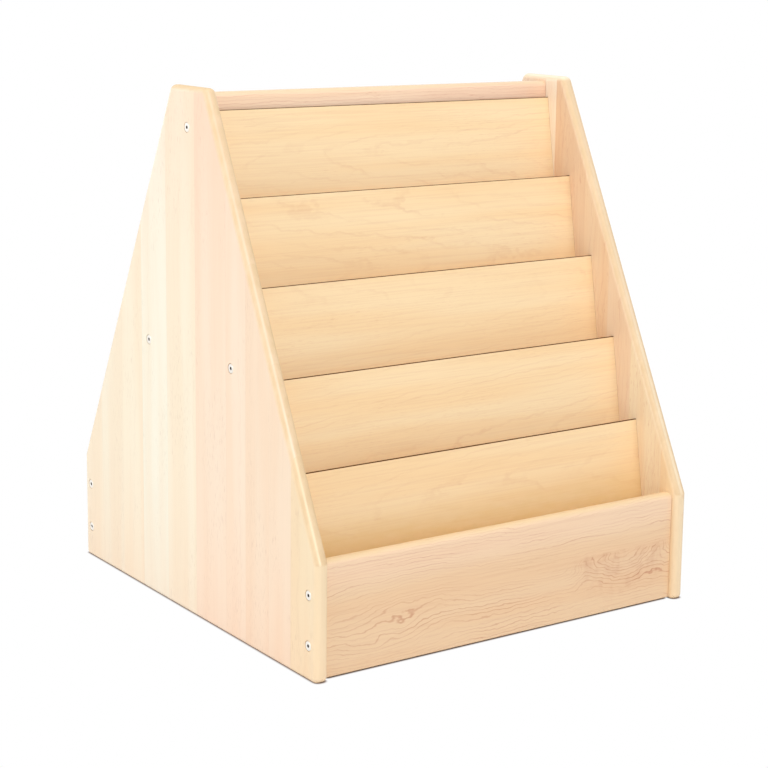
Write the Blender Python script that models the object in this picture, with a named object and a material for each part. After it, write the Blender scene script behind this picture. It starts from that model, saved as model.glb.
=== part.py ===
"""Double-sided book display for a classroom or a library.

Two edge-glued side panels carry a top rail, two lip boards and, on each side, a flight of thin display
panels that lean back in stopped grooves. A ledge under each panel is the floor of the pocket that holds
the books. Connector screws through the side panels pull the frame together.

Units are metres. +Z is up, the front looks towards -Y, and the origin is on the floor under the middle.
Outlines are drawn in a plane of two distances: out, from the middle plane towards the front or the back,
and up, from the floor.
"""

import math

import bmesh
import bpy
from mathutils import Matrix, Vector

# Overall size
WIDTH = 0.610  # across the outer faces of the side panels
DEPTH = 0.638  # from the front edge of a side panel to its back edge
HEIGHT = 0.712

# Side panels
SIDE_THICKNESS = 0.019
FOOT_HEIGHT = 0.152  # the upright part of the front and back edges
TOP_DEPTH = 0.092  # the flat at the top of the outline
ROUNDOVER = 0.008  # on the edges of the solid boards
FLOOR_ROUNDING = 0.004  # on the edges of the side panels that stand on the floor
MOST_ROUNDING = 0.45  # share of a board's thickness that one rounded edge may take
TOP_CORNER = 0.002  # radius left on the flat face at the top corners
KINK_CORNER = 0.003  # the same where the upright edge meets the sloping one
FOOT_CORNER = 0.002  # the same at the floor

# Top rail
RAIL_THICKNESS = 0.019
RAIL_HEIGHT = 0.090
RAIL_DROP = 0.008  # below the top of the side panels

# Lip boards
LIP_THICKNESS = 0.019
LIP_RECESS = 0.0095  # behind the edge of the side panels
LIP_LIFT = 0.0015  # clear of the floor
LOWER_EASE = 0.0015  # sharp edges taken off under the rail and the lip boards

# Display panels
TIERS = 5
PANEL_THICKNESS = 0.0055
PANEL_LEAN = 9.0  # degrees back from upright
PANEL_EASE = 0.001  # sharp edges taken off along the top
TOP_PANEL_DROP = 0.023  # top panel below the rail's top
LOWEST_REVEAL = 0.090  # lowest panel's top above the lip boards
TIER_SETBACK = 0.045  # lowest panel's top behind the sloping edge
GROOVE_DEPTH = 0.006  # in the side panels

# Ledges
LEDGE_THICKNESS = 0.019
POCKET_DEPTH = 0.090  # from a pocket's lip to its ledge
LOWEST_LEDGE_HEIGHT = 0.041  # lowest ledge above the floor, at its lip board

# Connector screws
SCREW_LENGTH = 0.050
HEAD_DIAMETER = 0.0125
HEAD_HEIGHT = 0.0025
HEAD_RIM = 0.0006  # rounded edge of the head
HEAD_SINK = 0.0002  # below the face of the side panel
SHANK_DIAMETER = 0.007
THREAD_DIAMETER = 0.005
TIP_LENGTH = 0.004
SOCKET_ACROSS = 0.004  # hexagon socket, flat to flat
SOCKET_DEPTH = 0.0018
LIP_SCREW_SPACING = 0.065
SCREWED_LEDGE = 2  # this ledge, counted from the top, takes a screw at each end
LEDGE_SCREW_SHIFT = 0.003  # towards the middle plane from the ledge's own middle

# Fits
FIT_GAP = 0.0003  # between pieces that touch
SEAT_CLEARANCE = 0.0004  # round a screw head

# Fineness of the curves
ROUNDOVER_STEPS = 5
CORNER_STEPS = 4
SCREW_SIDES = 18  # a multiple of the socket's six
SHARP_ANGLE = 35.0  # degrees; a sharper edge isn't shaded smooth

# Worked out from the sizes above
LEAN = math.radians(PANEL_LEAN)
DOWN = Vector((math.sin(LEAN), -math.cos(LEAN)))  # down a display panel
OUTWARD = Vector((math.cos(LEAN), math.sin(LEAN)))  # square out of its shown face
INNER_WIDTH = WIDTH - 2 * SIDE_THICKNESS
SLOPE = math.atan2((DEPTH - TOP_DEPTH) / 2, HEIGHT - FOOT_HEIGHT)  # sloping edge, from upright
LIP_FACE = DEPTH / 2 - LIP_RECESS
LIP_BACK = LIP_FACE - LIP_THICKNESS
LIP_MIDDLE = LIP_FACE - LIP_THICKNESS / 2
RAIL_TOP = HEIGHT - RAIL_DROP

FACES = {"front": -1.0, "back": 1.0}  # sign of Y
HANDS = {"left": -1.0, "right": 1.0}  # sign of X


def linear(red, green, blue):
    """The shader's colour for an 8-bit screen colour."""
    shares = [value / 255 for value in (red, green, blue)]
    curved = [c / 12.92 if c <= 0.04045 else ((c + 0.055) / 1.055) ** 2.4 for c in shares]
    return (*curved, 1.0)


def finish(name, colour, roughness, metallic=0.0):
    """A plain surface of one colour."""
    material = bpy.data.materials.new(name)
    material.use_nodes = True
    shader = material.node_tree.nodes["Principled BSDF"]
    shader.inputs["Base Color"].default_value = colour
    shader.inputs["Roughness"].default_value = roughness
    shader.inputs["Metallic"].default_value = metallic
    return material


def finished_mesh(name, shape):
    """Turn a closed bmesh into a mesh that faces out, smooth over its rounded edges."""
    bmesh.ops.recalc_face_normals(shape, faces=shape.faces)
    mesh = bpy.data.meshes.new(name)
    shape.to_mesh(mesh)
    shape.free()
    mesh.shade_smooth()
    mesh.set_sharp_from_angle(angle=math.radians(SHARP_ANGLE))
    return mesh


def place(name, mesh, material=None):
    """Put a mesh into the scene: a piece of the display or, with no material, a cutter."""
    piece = bpy.data.objects.new(name, mesh)
    bpy.context.scene.collection.objects.link(piece)
    if material is None:
        piece.hide_render = True
        piece.display_type = "WIRE"
    elif not mesh.materials:
        mesh.materials.append(material)
    return piece


def cut(piece, cutter):
    """Take the cutter's shape out of a piece."""
    modifier = piece.modifiers.new(cutter.name, "BOOLEAN")
    modifier.operation = "DIFFERENCE"
    modifier.solver = "EXACT"
    modifier.object = cutter


def rounded_outline(corners):
    """Points round an outline given as (point, radius) corners, with an arc at each radius over zero."""
    points = []
    for index, (corner, radius) in enumerate(corners):
        if radius <= 0:
            points.append(corner)
            continue
        before = (corners[index - 1][0] - corner).normalized()
        after = (corners[(index + 1) % len(corners)][0] - corner).normalized()
        half = before.angle(after) / 2
        centre = corner + (before + after).normalized() * radius / math.sin(half)
        start = corner + before * radius / math.tan(half) - centre
        turn = math.copysign(math.pi - 2 * half, before.cross(after) * -1)
        for step in range(CORNER_STEPS + 1):
            points.append(centre + Matrix.Rotation(turn * step / CORNER_STEPS, 2) @ start)
    return points


def add_loop(shape, outline, x, sign=1.0):
    """Vertices of an outline at one place along the width; sign turns out towards the front or the back."""
    return [shape.verts.new((x, sign * out, up)) for out, up in outline]


def bridge(shape, first, second):
    """Faces between two loops that hold the same number of vertices."""
    for index in range(len(first)):
        after = (index + 1) % len(first)
        shape.faces.new((first[index], first[after], second[after], second[index]))


def prism(name, outline, width, sign):
    """A bar of one outline across the middle of the display."""
    shape = bmesh.new()
    ends = [add_loop(shape, outline, x, sign) for x in (-width / 2, width / 2)]
    bridge(shape, *ends)
    for end in ends:
        shape.faces.new(end)
    return finished_mesh(name, shape)


def side_outline(inset, lift):
    """A side panel's outline drawn in by the inset, except along the floor, where it is lifted."""
    edge = DEPTH / 2 - inset
    kink = Vector((edge, FOOT_HEIGHT - inset * math.tan(SLOPE / 2)))
    top = Vector((TOP_DEPTH / 2 - inset * math.tan((math.pi / 2 - SLOPE) / 2), HEIGHT - inset))
    radius_left = edge_rounding(ROUNDOVER, SIDE_THICKNESS) - inset
    half = [
        (Vector((edge, lift)), FOOT_CORNER + edge_rounding(FLOOR_ROUNDING, SIDE_THICKNESS) - lift),
        (kink, KINK_CORNER + radius_left),
        (top, TOP_CORNER + radius_left),
    ]
    mirrored = [(Vector((-point.x, point.y)), radius) for point, radius in reversed(half)]
    return rounded_outline(half + mirrored)


def edge_rounding(wanted, thickness):
    """Radius of a board's rounded edge, limited by the board's thickness."""
    return min(wanted, thickness * MOST_ROUNDING)


def floor_lift(depth):
    """How far a side panel's rounded lower edge is off the floor, at a depth below the panel's face."""
    radius = edge_rounding(FLOOR_ROUNDING, SIDE_THICKNESS)
    return radius - math.sqrt(radius**2 - max(radius - depth, 0.0) ** 2)


def side_panel(hand, material):
    """One side panel: outlines lofted from its outer face over the rounded edge to its inner face."""
    radius = edge_rounding(ROUNDOVER, SIDE_THICKNESS)
    turns = [math.pi / 2 * step / ROUNDOVER_STEPS for step in range(ROUNDOVER_STEPS + 1)]
    layers = [(radius * (1 - math.cos(turn)), radius * (1 - math.sin(turn))) for turn in turns]
    layers += [(SIDE_THICKNESS - depth, inset) for depth, inset in reversed(layers)]
    shape = bmesh.new()
    loops = []
    for depth, inset in layers:
        outline = side_outline(inset, floor_lift(min(depth, SIDE_THICKNESS - depth)))
        loops.append(add_loop(shape, outline, HANDS[hand] * (WIDTH / 2 - depth)))
    for first, second in zip(loops, loops[1:]):
        bridge(shape, first, second)
    shape.faces.new(loops[0])
    shape.faces.new(loops[-1])
    name = f"side_panel_{hand}"
    return place(name, finished_mesh(name, shape), material)


def board_outline(inner, outer, low, high):
    """Cross-section of an upright board with a rounded top and eased lower edges."""
    radius = edge_rounding(ROUNDOVER, outer - inner)
    return rounded_outline(
        [
            (Vector((outer, low)), LOWER_EASE),
            (Vector((outer, high)), radius),
            (Vector((inner, high)), radius),
            (Vector((inner, low)), LOWER_EASE),
        ]
    )


def top_rail(material):
    """The rail between the tops of the side panels, on the middle plane."""
    half = RAIL_THICKNESS / 2
    outline = board_outline(-half, half, RAIL_TOP - RAIL_HEIGHT, RAIL_TOP)
    mesh = prism("top_rail", outline, INNER_WIDTH - 2 * FIT_GAP, 1.0)
    return place("top_rail", mesh, material)


def lip_board(face, material):
    """The board that closes the foot of one side and is the lip of its lowest pocket."""
    name = f"lip_board_{face}"
    outline = board_outline(LIP_BACK, LIP_FACE, LIP_LIFT, FOOT_HEIGHT)
    mesh = prism(name, outline, INNER_WIDTH - 2 * FIT_GAP, FACES[face])
    return place(name, mesh, material)


def sloping_edge(up):
    """How far out the sloping edge of a side panel is at a height."""
    return DEPTH / 2 - (up - FOOT_HEIGHT) * math.tan(SLOPE)


def panel_top(tier):
    """Top edge of a display panel's shown face; tiers step down evenly from the rail to the lip board."""
    against_rail = RAIL_THICKNESS / 2 + FIT_GAP + PANEL_THICKNESS * math.cos(LEAN)
    first = Vector((against_rail, RAIL_TOP - TOP_PANEL_DROP))
    lowest = FOOT_HEIGHT + LOWEST_REVEAL
    last = Vector((sloping_edge(lowest) - TIER_SETBACK, lowest))
    return first.lerp(last, (tier - 1) / max(TIERS - 1, 1))


def ledge_outline(tier):
    """A ledge from the lip in front of it to the back of the display panel that stands on it."""
    panel_back = panel_top(tier) - OUTWARD * PANEL_THICKNESS
    if tier < TIERS:
        lip = panel_top(tier + 1) - OUTWARD * (PANEL_THICKNESS + FIT_GAP)
        upper = lip + DOWN * POCKET_DEPTH
        lower = upper + DOWN * LEDGE_THICKNESS
    else:
        lower = Vector((LIP_BACK - FIT_GAP, LOWEST_LEDGE_HEIGHT))
        upper = lower + Vector((0.0, LEDGE_THICKNESS / math.cos(LEAN)))
    inner = [point - OUTWARD * (point - panel_back).dot(OUTWARD) for point in (lower, upper)]
    return [upper, lower, *inner]


def panel_corners(tier, grown=0.0):
    """Corners of a display panel's cross-section, standing on its ledge, grown all round for its groove."""
    top = panel_top(tier)
    length = (ledge_outline(tier)[0] - top).dot(DOWN) - FIT_GAP
    front = OUTWARD * grown
    back = OUTWARD * -(PANEL_THICKNESS + grown)
    upper = DOWN * -grown
    lower = DOWN * (length + grown)
    return [top + front + upper, top + back + upper, top + back + lower, top + front + lower]


def display_panel(face, tier, material):
    """One thin leaning panel, with its ends in the grooves of the side panels."""
    name = f"display_panel_{face}_{tier}"
    eases = (PANEL_EASE, PANEL_EASE, 0.0, 0.0)
    outline = rounded_outline(list(zip(panel_corners(tier), eases)))
    width = INNER_WIDTH + 2 * (GROOVE_DEPTH - FIT_GAP)
    return place(name, prism(name, outline, width, FACES[face]), material)


def groove_cutter(face, tier):
    """The stopped grooves of one display panel in both side panels."""
    name = f"groove_{face}_{tier}"
    outline = panel_corners(tier, FIT_GAP)
    return place(name, prism(name, outline, INNER_WIDTH + 2 * GROOVE_DEPTH, FACES[face]))


def ledge(face, tier, material):
    """The floor of one book pocket."""
    name = f"ledge_{face}_{tier}"
    mesh = prism(name, ledge_outline(tier), INNER_WIDTH - 2 * FIT_GAP, FACES[face])
    return place(name, mesh, material)


def hexagon_radius(turn):
    """Distance from the middle of the socket to its wall, in one direction."""
    return SOCKET_ACROSS / 2 / math.cos(turn % (math.pi / 3) - math.pi / 6)


def lathe(name, rings, start, end):
    """A turned solid along +Z: rings of (height, radius by direction), closed at two points on its axis."""
    shape = bmesh.new()
    turns = [2 * math.pi * side / SCREW_SIDES for side in range(SCREW_SIDES)]
    loops = [
        [shape.verts.new((radius(t) * math.cos(t), radius(t) * math.sin(t), height)) for t in turns]
        for height, radius in rings
    ]
    for first, second in zip(loops, loops[1:]):
        bridge(shape, first, second)
    for height, loop in ((start, loops[0]), (end, loops[-1])):
        point = shape.verts.new((0.0, 0.0, height))
        for index in range(SCREW_SIDES):
            shape.faces.new((loop[index], loop[(index + 1) % SCREW_SIDES], point))
    return finished_mesh(name, shape)


def circle(radius):
    """A ring's radius, the same in every direction."""
    return lambda turn: radius


def screw_mesh():
    """A connector screw, from the socket in its flat head to its point; z is depth from the head's face."""
    head, shank, thread = HEAD_DIAMETER / 2, SHANK_DIAMETER / 2, THREAD_DIAMETER / 2
    shoulder = SIDE_THICKNESS - HEAD_SINK
    rings = [
        (SOCKET_DEPTH, hexagon_radius),
        (0.0, hexagon_radius),
        (0.0, circle(head - HEAD_RIM)),
        (HEAD_RIM, circle(head)),
        (HEAD_HEIGHT, circle(head)),
        (HEAD_HEIGHT, circle(shank)),
        (shoulder, circle(shank)),
        (shoulder, circle(thread)),
        (SCREW_LENGTH - TIP_LENGTH, circle(thread)),
    ]
    return lathe("connector_screw", rings, SOCKET_DEPTH, SCREW_LENGTH)


def screw_hole_mesh():
    """The stepped hole for a connector screw: the screw grown by its clearances and open at the face."""
    head = HEAD_DIAMETER / 2 + SEAT_CLEARANCE
    shank = SHANK_DIAMETER / 2 + FIT_GAP
    thread = THREAD_DIAMETER / 2 + FIT_GAP
    mouth = -HEAD_HEIGHT
    seat = HEAD_HEIGHT + FIT_GAP
    shoulder = SIDE_THICKNESS - HEAD_SINK + FIT_GAP
    end = SCREW_LENGTH + FIT_GAP
    rings = [
        (mouth, circle(head)),
        (seat, circle(head)),
        (seat, circle(shank)),
        (shoulder, circle(shank)),
        (shoulder, circle(thread)),
        (end, circle(thread)),
    ]
    return lathe("screw_hole", rings, mouth, end)


def screw_places():
    """Where each screw goes: name, the piece that it holds, and its place from front to back and up."""
    places = [("rail", "top_rail", 0.0, RAIL_TOP - RAIL_HEIGHT / 2)]
    corners = ledge_outline(SCREWED_LEDGE)
    middle = sum(corners, Vector((0.0, 0.0))) / len(corners) - OUTWARD * LEDGE_SCREW_SHIFT
    lip_middle = (LIP_LIFT + FOOT_HEIGHT) / 2
    heights = {"upper": LIP_SCREW_SPACING / 2, "lower": -LIP_SCREW_SPACING / 2}
    for face, sign in FACES.items():
        places.append((f"ledge_{face}", f"ledge_{face}_{SCREWED_LEDGE}", sign * middle.x, middle.y))
        for height, offset in heights.items():
            name = f"lip_{face}_{height}"
            places.append((name, f"lip_board_{face}", sign * LIP_MIDDLE, lip_middle + offset))
    return places


def add_screws(pieces, material):
    """Screws through both side panels, each in its own stepped hole."""
    screw = screw_mesh()
    hole = screw_hole_mesh()
    for hand, sign in HANDS.items():
        for place_name, held, y, z in screw_places():
            name = f"screw_{hand}_{place_name}"
            cutter = place(f"hole_{hand}_{place_name}", hole)
            for piece in (place(name, screw, material), cutter):
                piece.location = (sign * (WIDTH / 2 - HEAD_SINK), y, z)
                piece.rotation_euler = (0.0, -sign * math.pi / 2, 0.0)
            cut(pieces[f"side_panel_{hand}"], cutter)
            cut(pieces[held], cutter)


def main():
    """Build the display, piece by piece."""
    for piece in list(bpy.data.objects):
        bpy.data.objects.remove(piece)
    side_maple = finish("side_maple", linear(238, 218, 188), 0.42)
    board_maple = finish("board_maple", linear(230, 198, 162), 0.42)
    panel_maple = finish("panel_maple", linear(238, 208, 164), 0.45)
    ledge_maple = finish("ledge_maple", linear(226, 196, 156), 0.5)
    bright_zinc = finish("bright_zinc", linear(205, 205, 205), 0.25, 1.0)

    pieces = {f"side_panel_{hand}": side_panel(hand, side_maple) for hand in HANDS}
    pieces["top_rail"] = top_rail(board_maple)
    for face in FACES:
        pieces[f"lip_board_{face}"] = lip_board(face, board_maple)
        for tier in range(1, TIERS + 1):
            display_panel(face, tier, panel_maple)
            pieces[f"ledge_{face}_{tier}"] = ledge(face, tier, ledge_maple)
            groove = groove_cutter(face, tier)
            for hand in HANDS:
                cut(pieces[f"side_panel_{hand}"], groove)
    add_screws(pieces, bright_zinc)


main()
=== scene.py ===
"""Looks of a double-sided book display made of clear-lacquered maple.

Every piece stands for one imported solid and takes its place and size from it. Side panels are outlines lofted
over their rounded edges, rail, lip boards, display panels and ledges are profiles carried across the width,
and connector screws are turned surfaces. Each wooden piece carries its own grain coordinates, in metres
along, across and through the grain, which its lacquered maple finish reads.

Units are metres. +Z is up and the front looks towards -Y. Sections are drawn as (out, up): the distance from
the middle plane towards the front or the back, and the height above the floor. Waves of noise are given per
metre, along, across and through the grain.
"""

import logging
import math
from collections.abc import Callable, Mapping, Sequence
from dataclasses import dataclass, field
from enum import Enum
from functools import reduce

import bmesh
import bpy
import numpy as np
from mathutils import Matrix, Vector
from numpy.typing import NDArray

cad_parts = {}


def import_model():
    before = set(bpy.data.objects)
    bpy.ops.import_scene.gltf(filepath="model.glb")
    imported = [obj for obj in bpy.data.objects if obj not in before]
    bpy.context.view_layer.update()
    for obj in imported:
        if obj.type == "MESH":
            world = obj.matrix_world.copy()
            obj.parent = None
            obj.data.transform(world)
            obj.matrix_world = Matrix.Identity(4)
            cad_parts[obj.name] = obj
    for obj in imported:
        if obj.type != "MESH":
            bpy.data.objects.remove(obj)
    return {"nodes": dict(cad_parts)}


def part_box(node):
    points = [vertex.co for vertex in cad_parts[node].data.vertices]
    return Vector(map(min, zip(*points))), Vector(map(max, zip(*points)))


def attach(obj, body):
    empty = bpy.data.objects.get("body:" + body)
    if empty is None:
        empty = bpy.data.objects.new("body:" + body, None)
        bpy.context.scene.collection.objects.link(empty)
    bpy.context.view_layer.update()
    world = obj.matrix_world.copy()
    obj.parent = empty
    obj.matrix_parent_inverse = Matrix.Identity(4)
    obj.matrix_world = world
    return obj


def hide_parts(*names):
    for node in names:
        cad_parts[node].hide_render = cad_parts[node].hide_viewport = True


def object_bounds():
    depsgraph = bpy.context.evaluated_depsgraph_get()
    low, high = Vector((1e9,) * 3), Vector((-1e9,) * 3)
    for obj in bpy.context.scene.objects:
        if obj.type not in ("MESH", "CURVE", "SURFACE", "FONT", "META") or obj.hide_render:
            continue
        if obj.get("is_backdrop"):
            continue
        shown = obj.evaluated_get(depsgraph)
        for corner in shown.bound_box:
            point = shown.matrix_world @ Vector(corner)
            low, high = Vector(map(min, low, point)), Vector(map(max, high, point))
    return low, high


LOG = logging.getLogger("book_display")

Array = NDArray[np.float64]
Span = tuple[float, float]
Triple = tuple[float, float, float]
Colour = tuple[float, float, float, float]
Mask = Callable[[Array], Array]  # gives a value for each of a piece's points
Socket = bpy.types.NodeSocket
Feed = Socket | float | Sequence[float]  # what a node's input takes: a socket to join or a value to set

PANEL_LEAN = math.radians(9.0)  # display panels, back from upright
DOWN = np.array([math.sin(PANEL_LEAN), -math.cos(PANEL_LEAN)])  # down a display panel, as (out, up)
OUTWARD = np.array([math.cos(PANEL_LEAN), math.sin(PANEL_LEAN)])  # square out of its shown face
RIGHT = (1.0, 0.0, 0.0)
BACK = (0.0, 1.0, 0.0)
UP = (0.0, 0.0, 1.0)
FIT_GAP = 0.0003  # between pieces that touch
SHARP_ANGLE = math.radians(32.0)  # a sharper edge isn't shaded smooth
GRAIN = "grain"  # metres along, across and through the grain
ARRIS = "arris"  # 1 where the edge tone shows, which is partly painted light and shade, 0 elsewhere
CAP = "cap"  # 1 on a cut top edge and on the right side panel's highlight line, 0 elsewhere
SOCKET = "socket"  # 1 inside a screw's socket, 0 elsewhere
LATHE = "lathe"  # a turned piece's radius, turn and depth
BLACK = (0.0, 0.0, 0.0, 1.0)
WHITE = (1.0, 1.0, 1.0, 1.0)


class Face(Enum):
    """The two sides that show books; the value is the sign of Y."""

    FRONT = -1
    BACK = 1


class Hand(Enum):
    """The two ends of the display; the value is the sign of X."""

    LEFT = -1
    RIGHT = 1


def screen(red: float, green: float, blue: float) -> Colour:
    """The shader's colour for an 8-bit screen colour.

    Each channel's share of 255 goes back through the sRGB curve, which starts straight and ends as a power.

    Args:
        red: red, from 0 to 255.
        green: green, from 0 to 255.
        blue: blue, from 0 to 255.

    Returns:
        The linear colour, opaque.
    """
    share = np.array([red, green, blue]) / 255
    linear = np.where(share <= 0.04045, share / 12.92, ((share + 0.055) / 1.055) ** 2.4)
    return (*linear.tolist(), 1.0)


class Bench:
    """Places shader nodes in one tree and joins them."""

    MEASURES = ("DOT_PRODUCT", "LENGTH")  # steps on vectors that give a number
    NOISE_MIDDLE = 0.5

    def __init__(self, tree: bpy.types.NodeTree) -> None:
        """Keep the tree that the nodes go into."""
        self.tree = tree

    @classmethod
    def cleared(cls, owner: bpy.types.Material | bpy.types.World) -> "Bench":
        """Empty the tree of a material or a world.

        Args:
            owner: the material or the world.

        Returns:
            A bench on its tree.
        """
        owner.use_nodes = True
        owner.node_tree.nodes.clear()
        return cls(owner.node_tree)

    def put(self, kind: str, feeds: Mapping[str | int, Feed] | None = None,
            **settings: object) -> bpy.types.Node:
        """Place one node.

        Args:
            kind: Blender's name of the node type.
            feeds: what each input takes, by the input's name or number.
            settings: the node's own properties.

        Returns:
            The new node.
        """
        node = self.tree.nodes.new(kind)
        for name, value in settings.items():
            setattr(node, name, value)
        for key, feed in (feeds or {}).items():
            if isinstance(feed, Socket):
                self.tree.links.new(feed, node.inputs[key])
            else:
                node.inputs[key].default_value = feed
        return node

    def math(self, operation: str, *feeds: Feed) -> Socket:
        """One step of arithmetic on numbers."""
        return self.put("ShaderNodeMath", dict(enumerate(feeds)), operation=operation).outputs[0]

    def times(self, *feeds: Feed) -> Socket:
        """The product of several numbers."""
        return reduce(lambda product, feed: self.math("MULTIPLY", product, feed), feeds)

    def scaled(self, value: Feed, factor: Feed, start: Feed) -> Socket:
        """A number times a factor, added to a start."""
        return self.math("MULTIPLY_ADD", value, factor, start)

    def vector_math(self, operation: str, *feeds: Feed) -> Socket:
        """One step of arithmetic on vectors, which gives a vector or, as a length does, a number."""
        node = self.put("ShaderNodeVectorMath", dict(enumerate(feeds)), operation=operation)
        return node.outputs[1 if operation in self.MEASURES else 0]

    def axes(self, place: Feed) -> tuple[Socket, ...]:
        """The three numbers of a vector."""
        return tuple(self.put("ShaderNodeSeparateXYZ", {0: place}).outputs)

    def noise(self, place: Feed, waves: Triple, detail: float = 2.0) -> Socket:
        """Smooth noise from 0 to 1 with its own number of waves along each axis.

        Args:
            place: the vector to read.
            waves: waves per metre.
            detail: octaves of finer noise.

        Returns:
            The noise value.
        """
        stretched = self.vector_math("MULTIPLY", place, waves)
        feeds = {"Vector": stretched, "Scale": 1.0, "Detail": detail}
        return self.put("ShaderNodeTexNoise", feeds).outputs[0]

    def sway(self, place: Feed, waves: Triple, detail: float = 2.0) -> Socket:
        """The same noise round 0."""
        return self.math("SUBTRACT", self.noise(place, waves, detail), self.NOISE_MIDDLE)

    def rise(self, value: Feed, low: float, high: float) -> Socket:
        """A smooth step from 0 at the low value to 1 at the high one."""
        feeds = {"Value": value, "From Min": low, "From Max": high}
        return self.put("ShaderNodeMapRange", feeds, interpolation_type="SMOOTHSTEP").outputs[0]

    def between(self, share: Feed, low: Feed, high: Feed) -> Socket:
        """The low number where a share is 0, the high one where it is 1, and evenly between."""
        return self.put("ShaderNodeMapRange", {"Value": share, "To Min": low, "To Max": high}).outputs[0]

    def tint(self, share: Feed, colour: Feed, towards: Feed, mode: str = "MIX") -> Socket:
        """A colour moved towards another by a share; a Mix node's colours are inputs 6 and 7 and output 2."""
        feeds = {0: share, 6: colour, 7: towards}
        return self.put("ShaderNodeMix", feeds, data_type="RGBA", blend_type=mode).outputs[2]

    def spot(self, place: Feed, middle: Feed, steepness: Triple) -> Socket:
        """A soft spot: 1 in its middle, falling off as a bell with its own steepness along each axis.

        Args:
            place: the vector to read.
            middle: the spot's middle.
            steepness: one over the spot's radius along each axis.

        Returns:
            The share of the spot.
        """
        away = self.vector_math("MULTIPLY", self.vector_math("SUBTRACT", place, middle), steepness)
        square = self.vector_math("DOT_PRODUCT", away, away)
        return self.math("EXPONENT", self.times(square, -1.0))

    def coordinates(self, name: str) -> Socket:
        """Coordinates that the piece carries."""
        return self.put("ShaderNodeAttribute", attribute_name=name).outputs["Vector"]

    def mask(self, name: str) -> Socket:
        """A mask that the piece carries."""
        return self.put("ShaderNodeAttribute", attribute_name=name).outputs["Fac"]

    def bump(self, distance: float, height: Feed) -> Socket:
        """The normal of a relief that rises by a distance where its height is 1."""
        feeds = {"Strength": 1.0, "Distance": distance, "Height": height}
        return self.put("ShaderNodeBump", feeds).outputs[0]

    def group(self, tree: bpy.types.NodeTree, **feeds: Feed) -> bpy.types.Node:
        """Place a node group; an underscore in a feed's name stands for a space."""
        named = {name.replace("_", " "): feed for name, feed in feeds.items()}
        return self.put("ShaderNodeGroup", named, node_tree=tree)


@dataclass(frozen=True)
class Streaks:
    """A pattern of soft streaks: noise that begins to show at a low value and shows in full at a high one."""

    waves: Triple
    low: float
    high: float
    detail: float = 1.0

    def shown(self, bench: Bench, place: Feed) -> Socket:
        """How much of the pattern shows at a place."""
        return bench.rise(bench.noise(place, self.waves, self.detail), self.low, self.high)


class EffectGroup:
    """A shader node group with named inputs and outputs."""

    KINDS = {"value": "NodeSocketFloat", "colour": "NodeSocketColor", "vector": "NodeSocketVector"}

    def __init__(self, name: str, inputs: Mapping[str, str], outputs: Mapping[str, str]) -> None:
        """Make the tree and its sockets.

        Args:
            name: the group's name.
            inputs: the kind of each input, by name.
            outputs: the kind of each output, by name.
        """
        self.tree = bpy.data.node_groups.new(name, "ShaderNodeTree")
        for sockets, direction in ((inputs, "INPUT"), (outputs, "OUTPUT")):
            for label, kind in sockets.items():
                self.tree.interface.new_socket(label, in_out=direction, socket_type=self.KINDS[kind])
        self.bench = Bench(self.tree)
        self.given = self.bench.put("NodeGroupInput").outputs
        self.result = self.bench.put("NodeGroupOutput").inputs

    def give(self, name: str, socket: Socket) -> None:
        """Send a value out of the group."""
        self.tree.links.new(socket, self.result[name])


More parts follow.
